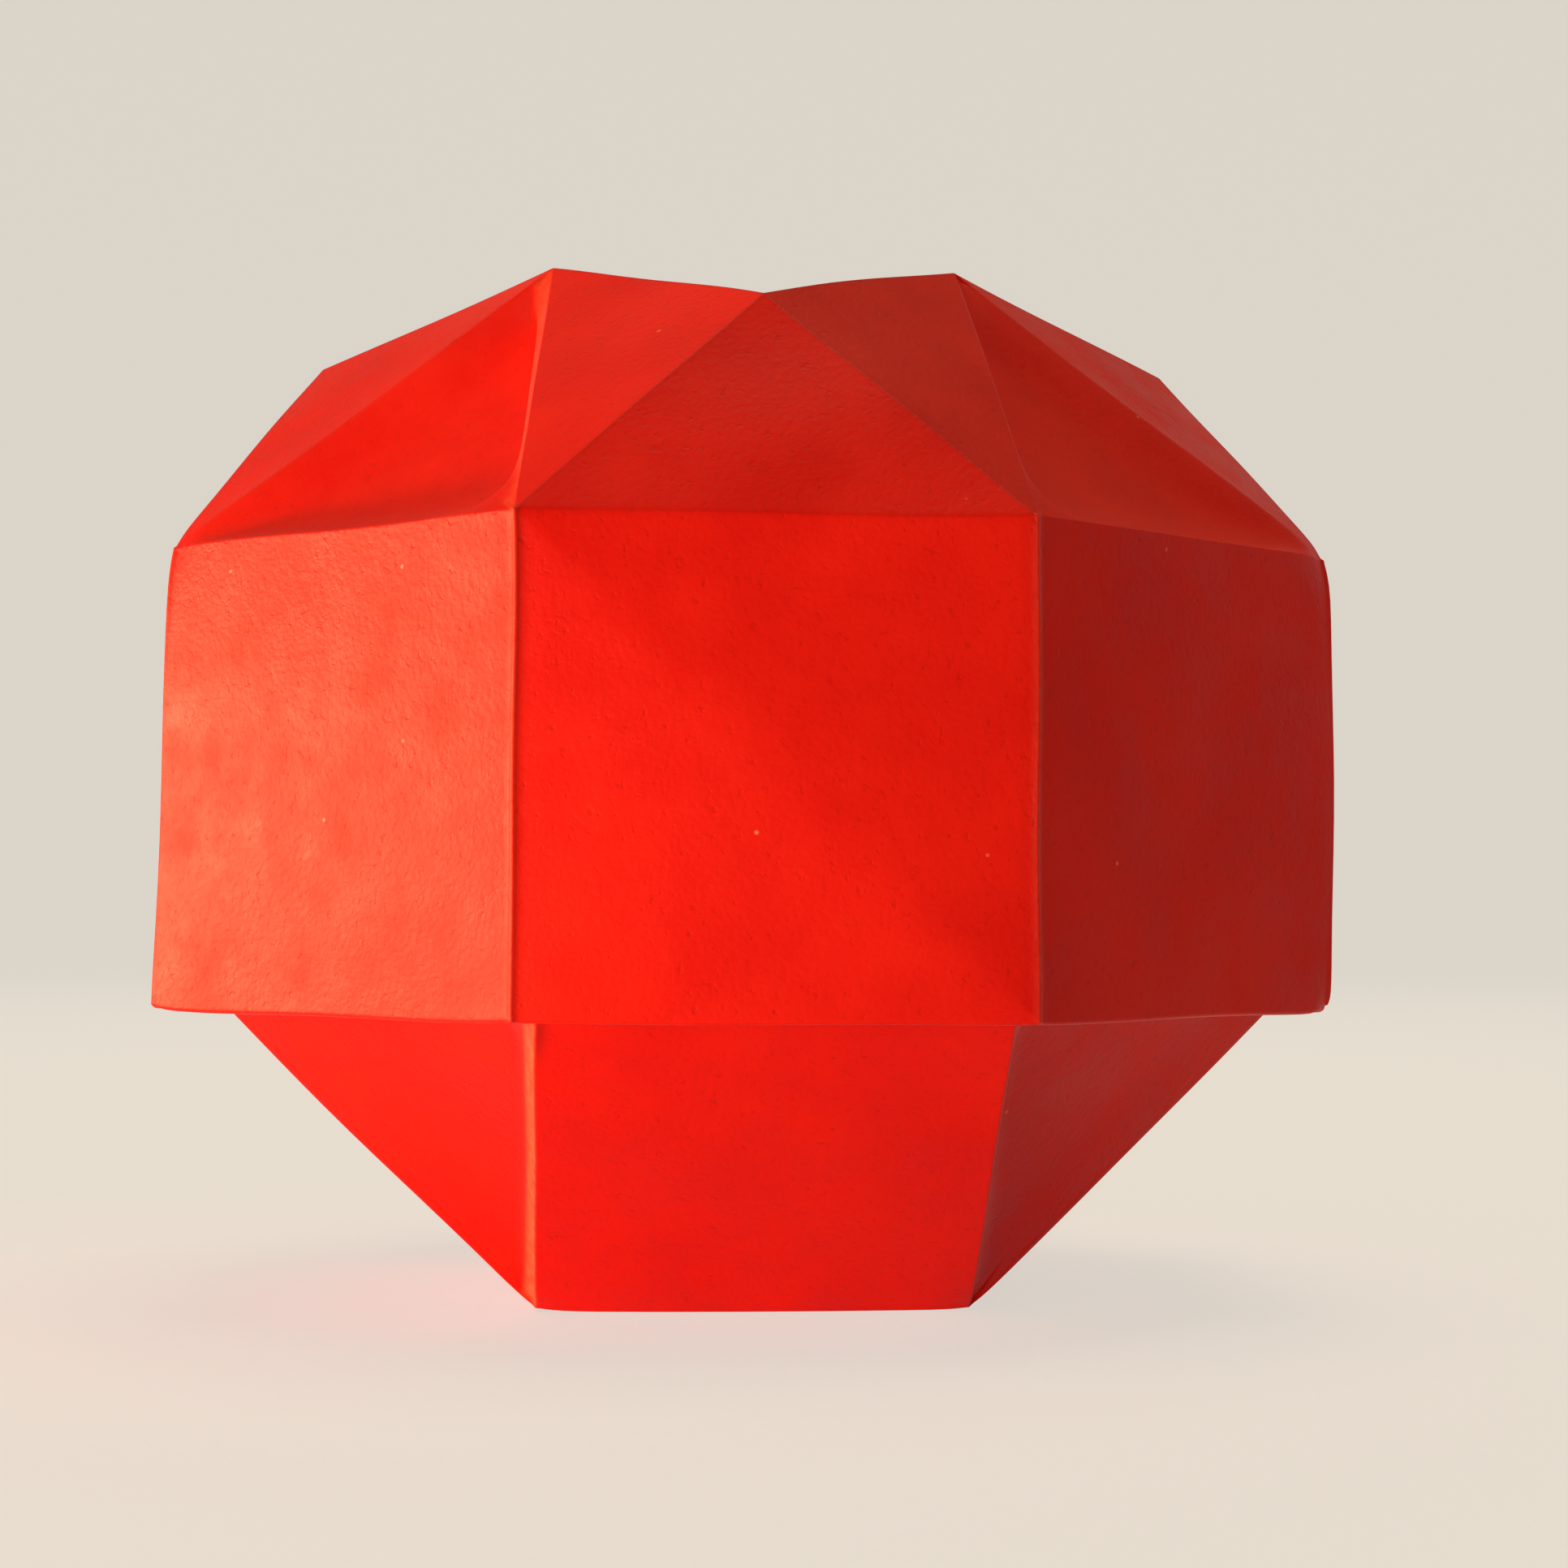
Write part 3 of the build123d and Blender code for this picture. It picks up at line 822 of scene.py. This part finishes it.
class PAPERBOX_OT_lid(bpy.types.Operator):
    """Folds the lid: eight walls with a turned hem, four creased panels, four corner tucks, a sunken top"""

    bl_idname = "paper_box.fold_lid"
    bl_label = "Fold Lid"

    def execute(self, context):
        settings = context.scene.paper_box
        lid, paper = settings.lid, settings.paper
        top = lid.rim_level + lid.belt_height
        middle = np.array([0, 0, (lid.rim_level + top) / 2])
        outer = np.concatenate([
            octagon(lid.wall_width, lid.across, top),
            quarter_turns([(lid.corner_reach, -lid.corner_reach, lid.top_level)]),
            quarter_turns([(0, -lid.peak_reach, top + lid.peak_rise)]),
            quarter_turns([(0, -lid.dip_reach, top + lid.dip_rise)]),
            [(0, 0, top + lid.centre_rise)],
        ])
        outer[FIRST_PEAK] += FRONT_PEAK_SHIFT
        outer[FRONT_RIGHT_TIP] += FRONT_RIGHT_TIP_SHIFT
        creased, corners = crown_facets()
        inner = set_in(outer, creased + corners, paper.layers)
        inner[:WALLS] = octagon(lid.wall_width, lid.across, top, paper.layers)
        tucks = corner_tucks(outer, middle, lid.tuck_at_top, lid.tuck_at_front, lid.tuck_sag)
        rolls = (lid.edge_at_top, lid.edge_at_front, lid.edge_at_wall)
        ring_grids, floors = tuck_grids(tucks, lid.tuck_radius, rolls, LID_RUNS)

        open_grids = [patch for facet in creased for patch in triangle_patch(*outer[list(facet)])]
        open_grids += floors + inner_triangles(inner, creased + corners, tucks, paper.layers)
        belt = lid_rings(lid, paper)
        belt[FIRST_INSIDE:] = behind_tucks(belt[FIRST_INSIDE:], tucks, paper.layers)
        ring_grids.append(belt)
        diagonal = np.arange(len(EDGE_SHARES) - 1)
        mesh = sheet_mesh("lid_sheet", open_grids, ring_grids, belt[diagonal, diagonal])

        tops, drop = outer[:WALLS], np.array([0, 0, lid.belt_height])
        upright = np.stack([tops, tops - drop], axis=1)
        wall_tops = tops.reshape(SIDES, 2, 3)
        crossings = np.array([
            [outer[FIRST_PEAK + side], outer[end]] for side in range(SIDES) for end in side_corners(side)[:4]
        ])
        beside = octagon(lid.wall_width - 2 * BESIDE_FOLD, lid.across, top)
        beside = np.stack([beside, beside - drop], axis=1)
        folds = marked((upright, UPRIGHT_FOLD), (wall_tops, TOP_FOLD))
        # Painted shade along the crown's creases, the walls' tops and beside the upright folds
        shade_lines = marked((crossings, CROSSING_SHADE), (wall_tops, TOP_SHADE), (beside, BESIDE_SHADE))
        blunted = [(outer[number], TOP_BLUNT_REACH, depth) for number, depth in BLUNTED_TOPS]
        blunted += [(outer[BLUNTED_RIM] - drop, RIM_BLUNT_REACH, RIM_BLUNT_DEPTH)]
        # Painted highlight on the flanks of the panels' folded edges
        painted_flank_highlight = LID_FLANK_HIGHLIGHT * edge_highlight(mesh_points(mesh), tucks, rolls)
        mark_paper(mesh, folds, shade_lines, painted_flank_highlight)
        shape_paper(mesh, folds, blunted, paper, middle, LID_SEED)
        place_sheet(context, mesh, paper, "lid")
        return {"FINISHED"}


# Base

# Handwork at the front left: foot of the belt, corner of the bottom, and a painted shadow of a narrow gap from the
# foot down the edge
FRONT_LEFT_FOOT = 0
FRONT_LEFT_FOOT_SHIFT = np.array([0.4, 0, 0]) * MM
FRONT_LEFT_TIP_SHIFT = np.array([0.15, 0, 0]) * MM
SLIT_SHIFT = np.array([0.15, 0, 0]) * MM
# Where the painted shadow of the slit ends, as a share of the edge, and how dark it is
SLIT_SHARE, SLIT_SHADOW = 0.11, 0.85
BASE_RUNS = (1, 1)  # how far a panel's folded edge runs down on to the floor, at its tip and at its upper end
BASE_FLANK_HIGHLIGHT = 3  # painted highlight on the flank of that edge
BELT_FOLD, BOTTOM_FOLD = 0.6, 0.2  # strengths of folds
BOTTOM_BLUNT_REACH, BOTTOM_BLUNT_DEPTH = 0.6 * MM, 0.12 * MM
BASE_SEED = 23


def tray_facets():
    """Corner numbers of the base's facets: panels and bottom, corner triangles, and three corners of each wall."""
    panels, corners = [], []
    for side in range(SIDES):
        left, right, far, near, next_left = side_corners(side)
        panels += [(near, far, right, left)]
        corners += [(right, far, next_left)]
    bottom = (FRONT_LEFT_TIP, BACK_LEFT_TIP, BACK_RIGHT_TIP, FRONT_RIGHT_TIP)
    walls = [(wall, (wall + 1) % WALLS, FIRST_RIM + wall) for wall in range(WALLS)]
    return panels + [bottom], corners, walls


class PAPERBOX_OT_base(bpy.types.Operator):
    """Folds the base: flat bottom, four slanted panels, four corner tucks and a belt that springs outwards"""

    bl_idname = "paper_box.fold_base"
    bl_label = "Fold Base"

    def execute(self, context):
        settings = context.scene.paper_box
        lid, base, paper = settings.lid, settings.base, settings.paper
        layers = paper.layers
        middle = np.array([0, 0, lid.rim_level + lid.belt_height / 2])
        half = base.bottom_width / 2
        foot_across = lid.across - 2 * (layers + base.foot_clearance)
        outer = np.concatenate([
            octagon(base.wall_width, foot_across, base.panel_rise),
            quarter_turns([(half, -half, 0)]),
        ])
        outer[FRONT_LEFT_FOOT] += FRONT_LEFT_FOOT_SHIFT
        outer[FRONT_LEFT_TIP] += FRONT_LEFT_TIP_SHIFT
        rim_inset = layers + base.rim_clearance
        rim = octagon(lid.wall_width, lid.across, base.rim_level, rim_inset)
        flats, corners, walls = tray_facets()
        inner = set_in(np.concatenate([outer, rim]), [flat[:3] for flat in flats] + corners + walls, layers)
        tucks = corner_tucks(outer, middle, base.tuck_at_bottom, base.tuck_at_front, base.tuck_sag)
        rolls = (base.edge_at_bottom, base.edge_at_front, base.edge_at_wall)
        ring_grids, floors = tuck_grids(tucks, base.tuck_radius, rolls, BASE_RUNS)

        open_grids = []
        for flat in flats:
            inside = behind_tucks(quad_patch(*inner[list(flat)]), tucks, layers)
            open_grids += [quad_patch(*outer[list(flat)]), inside]
        open_grids += inner_triangles(inner, corners, tucks, layers) + floors

        foot, inner_foot = outer[:WALLS], inner[:WALLS]
        inner_rim = octagon(lid.wall_width, lid.across, base.rim_level, rim_inset + layers)
        straight = 1 - BASE_HEM / (base.rim_level - base.panel_rise)
        rows = [foot + (rim - foot) * share * straight for share in EDGE_SHARES]
        rows += [
            octagon(lid.wall_width, lid.across, base.rim_level - down, rim_inset + inset * layers)
            for inset, down in zip(HEM_INSETS, BASE_HEM_ROWS)
        ]
        rows += [inner_foot + (inner_rim - inner_foot) * (1 - share) * straight for share in EDGE_SHARES[::2]]
        belt = np.array([along_outline(row) for row in rows])
        belt[FIRST_INSIDE:] = behind_tucks(belt[FIRST_INSIDE:], tucks, layers)
        ring_grids.append(belt)
        mesh = sheet_mesh("base_sheet", open_grids, ring_grids)

        tips = outer[FIRST_TIP:]
        upright = np.stack([foot, rim], axis=1)
        bottom_edges = np.stack([tips, np.roll(tips, -1, axis=0)], axis=1)
        slit_start = outer[FRONT_LEFT_FOOT] + SLIT_SHIFT
        slit_end = slit_start + (outer[FRONT_LEFT_TIP] - outer[FRONT_LEFT_FOOT]) * SLIT_SHARE
        folds = marked((upright, BELT_FOLD), (bottom_edges, BOTTOM_FOLD))
        # Painted shadow along the slit at the front left foot
        shade_lines = marked((np.array([[slit_start, slit_end]]), SLIT_SHADOW))
        blunted = [(tip, BOTTOM_BLUNT_REACH, BOTTOM_BLUNT_DEPTH) for tip in tips]
        # Painted highlight on the flanks of the panels' folded edges
        painted_flank_highlight = BASE_FLANK_HIGHLIGHT * edge_highlight(mesh_points(mesh), tucks, rolls)
        mark_paper(mesh, folds, shade_lines, painted_flank_highlight)
        shape_paper(mesh, folds, blunted, paper, middle, BASE_SEED)
        place_sheet(context, mesh, paper, "base")
        return {"FINISHED"}


# Studio

FLAT_RINGS, SWEEP_RINGS, SPOKES = 8, 12, 96
INNER_RING = 0.001  # innermost ring, as a share of the reach
SEEN_SHARE = 0.7  # of even paleness in the floor as it is seen, so that it stays plain and keeps the box's shadow
SURROUND_COLOUR, SURROUND_STRENGTH = "#FFDBA8", 0.2

# Name, place, what it points at, width and height, watts, colour, and whether it lights only the paper
LAMPS = (
    ("front lamp", (-0.25, -0.33, 0.03), (0, 0, 0.021), (0.16, 0.12), 0.33, "#FFE0B4", False),
    ("low front lamp", (-0.05, -0.055, 0.004), (0, -0.012, 0.006), (0.05, 0.006), 0.048, "#FFE0B4", True),
    ("side lamp", (-0.5, 0.05, 0.042), (0, 0, 0.03), (0.225, 0.08), 1.95, "#FFEBA8", True),
    ("top lamp", (0.03, 0.05, 0.5), (0, 0, 0), (0.3, 0.3), 0.88, "#FFE0B4", False),
    ("back lamp", (0.0, 0.35, 0.3), (0, 0, 0.02), (0.2, 0.2), 0.15, "#FFE6C6", False),
)

SENSOR_WIDTH, LENS = 36.0, 75.1  # millimetres, as cameras give them
CAMERA_PLACE = (-7.31 * MM, -139.6 * MM, 16.45 * MM)
CAMERA_YAW, CAMERA_PITCH, CAMERA_ROLL = (math.radians(angle) for angle in (3.72, 2.01, 0.25))


class PAPERBOX_OT_stage(bpy.types.Operator):
    """Sets up the floor, the lamps and the camera"""

    bl_idname = "paper_box.set_stage"
    bl_label = "Set Up Studio"

    def execute(self, context):
        scene = context.scene
        scene.view_settings.view_transform = "Standard"
        self.lay_floor(scene, scene.paper_box.stage)
        self.set_world(scene)
        self.hang_lamps(scene)
        self.place_camera(scene)
        return {"FINISHED"}

    def lay_floor(self, scene, stage):
        """A profile turned round Z: flat out to the reach, then up a quarter circle of the same radius."""
        reach = stage.floor_reach
        turn = np.linspace(0, np.pi / 2, SWEEP_RINGS)[1:]
        radius = np.concatenate([np.linspace(INNER_RING, 1, FLAT_RINGS) * reach, reach + reach * np.sin(turn)])
        height = np.concatenate([np.zeros(FLAT_RINGS), reach * (1 - np.cos(turn))])
        angle = np.linspace(0, 2 * np.pi, SPOKES, endpoint=False)
        points = np.stack([
            radius[:, None] * np.cos(angle), radius[:, None] * np.sin(angle),
            np.broadcast_to(height[:, None], (len(height), SPOKES)),
        ], axis=-1)
        quads = grid_quads(len(radius), SPOKES, True).tolist() + [list(range(SPOKES))]
        mesh = bpy.data.meshes.new("floor")
        mesh.from_pydata(points.reshape(-1, 3).tolist(), [], quads)
        mesh.polygons.foreach_set("use_smooth", np.ones(len(mesh.polygons), dtype=bool))
        mesh.materials.append(self.studio_card(stage))
        floor = bpy.data.objects.new("floor", mesh)
        scene.collection.objects.link(floor)

    def studio_card(self, stage):
        """Matte card, lit by the lamps, with an even paleness added where it is seen, in mirrors and glass too."""
        material = bpy.data.materials.new("matte studio card")
        tree = new_tree(material)
        card = add(tree, "ShaderNodeBsdfPrincipled", Base_Color=(*stage.floor, 1), Roughness=0.9)
        pale = add(tree, "ShaderNodeEmission", Color=(*stage.floor, 1), Strength=1.0)
        path = add(tree, "ShaderNodeLightPath").outputs
        mirrored = maths(tree, "MAXIMUM", path["Is Glossy Ray"], path["Is Transmission Ray"])
        viewed = maths(tree, "MAXIMUM", path["Is Camera Ray"], mirrored)
        seen = maths(tree, "MULTIPLY", viewed, SEEN_SHARE)
        mixed = add(tree, "ShaderNodeMixShader", i0=seen, i1=card.outputs[0], i2=pale.outputs[0])
        add(tree, "ShaderNodeOutputMaterial", Surface=mixed.outputs["Shader"])
        return material

    def set_world(self, scene):
        """A soft, even surround."""
        world = bpy.data.worlds.new("studio surround")
        world.use_nodes = True
        background = world.node_tree.nodes["Background"]
        background.inputs["Color"].default_value = (*linear(SURROUND_COLOUR), 1)
        background.inputs["Strength"].default_value = SURROUND_STRENGTH
        scene.world = world

    def hang_lamps(self, scene):
        """Soft lamps: one in front, a low one there and one at the left that glance off the paper alone, one above
        and one behind."""
        paper_only = bpy.data.collections.new("lit by the low lamps")
        for piece in ("lid_sheet", "base_sheet"):
            paper_only.objects.link(bpy.data.objects[piece])
        for name, place, target, size, power, code, lights_paper_only in LAMPS:
            light = bpy.data.lights.new(name, "AREA")
            light.shape = "RECTANGLE"
            light.size, light.size_y = size
            light.energy = power
            light.color = linear(code)
            lamp = bpy.data.objects.new(name, light)
            lamp.location = place
            lamp.rotation_mode = "QUATERNION"
            lamp.rotation_quaternion = (Vector(target) - Vector(place)).to_track_quat("-Z", "Y")
            lamp.visible_camera = False
            if lights_paper_only:
                lamp.light_linking.receiver_collection = paper_only
            scene.collection.objects.link(lamp)

    def place_camera(self, scene):
        """In front of the box, almost level with its middle, turned a little to the right and up."""
        camera = bpy.data.cameras.new("camera")
        camera.sensor_width = SENSOR_WIDTH
        camera.lens = LENS
        camera.clip_start = MM
        level = Vector((math.sin(CAMERA_YAW), math.cos(CAMERA_YAW), 0))
        ahead = math.cos(CAMERA_PITCH) * level + Vector((0, 0, math.sin(CAMERA_PITCH)))
        right = Vector((math.cos(CAMERA_YAW), -math.sin(CAMERA_YAW), 0))
        up = right.cross(ahead)
        rolled_right = math.cos(CAMERA_ROLL) * right + math.sin(CAMERA_ROLL) * up
        rolled_up = math.cos(CAMERA_ROLL) * up - math.sin(CAMERA_ROLL) * right
        turn = Matrix((rolled_right, rolled_up, -ahead)).transposed()
        eye = bpy.data.objects.new("camera", camera)
        eye.matrix_world = Matrix.Translation(CAMERA_PLACE) @ turn.to_4x4()
        scene.collection.objects.link(eye)
        scene.camera = eye


class PAPERBOX_PT_sidebar(bpy.types.Panel):
    """Lists the steps that make the box"""

    bl_idname = "PAPERBOX_PT_sidebar"
    bl_label = "Paper Box"
    bl_space_type = "VIEW_3D"
    bl_region_type = "UI"
    bl_category = "Paper Box"

    def draw(self, context):
        layout = self.layout
        for step in STEPS:
            layout.operator(step.bl_idname)


STEPS = (PAPERBOX_OT_lid, PAPERBOX_OT_base, PAPERBOX_OT_stage)
CLASSES = (
    PaperSettings, LidSettings, BaseSettings, StageSettings, PaperBoxSettings, *STEPS, PAPERBOX_PT_sidebar
)


def register():
    for cls in CLASSES:
        bpy.utils.register_class(cls)
    bpy.types.Scene.paper_box = PointerProperty(type=PaperBoxSettings)


def unregister():
    del bpy.types.Scene.paper_box
    for cls in reversed(CLASSES):
        bpy.utils.unregister_class(cls)


def main():
    register()
    bpy.ops.paper_box.fold_lid()
    bpy.ops.paper_box.fold_base()
    bpy.ops.paper_box.set_stage()


if __name__ == "__main__":
    main()
